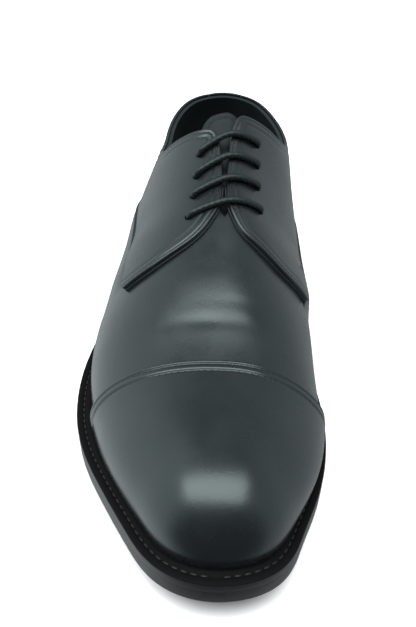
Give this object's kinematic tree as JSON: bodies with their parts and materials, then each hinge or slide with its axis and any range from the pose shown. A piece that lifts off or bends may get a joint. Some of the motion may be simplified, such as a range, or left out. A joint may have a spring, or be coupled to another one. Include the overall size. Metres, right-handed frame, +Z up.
{
  "type": "derby shoe",
  "caption": "Black leather cap-toe derby shoe with open lacing, a welted sole and a low block heel.",
  "frame": {"origin": "centre of the bounding box on the floor that the shoe stands on", "axes": "+Z up, the toe points along -Y and the heel along +Y, the inner side of the foot faces +X"},
  "size_m": [0.107, 0.2814, 0.107],
  "materials": {
    "calf": "smooth black calf with a soft polish",
    "lining": "matt black lining leather",
    "welt_leather": "blackened, rough on top",
    "sole_rubber": "matt black rubber",
    "cord": "waxed woven cotton lace"
  },
  "bodies": {
    "root": {"upper": "calf", "quarter_lateral": "calf", "quarter_medial": "calf", "toe_cap": "calf", "back_strip": "calf", "tongue": "calf", "insole": "lining", "welt": "welt_leather", "outsole": "sole_rubber", "heel": "sole_rubber", "top_piece": "sole_rubber", "lace_bar_1": "cord", "lace_bar_2": "cord", "lace_bar_3": "cord", "lace_bar_4": "cord"}
  },
  "joints": []
}
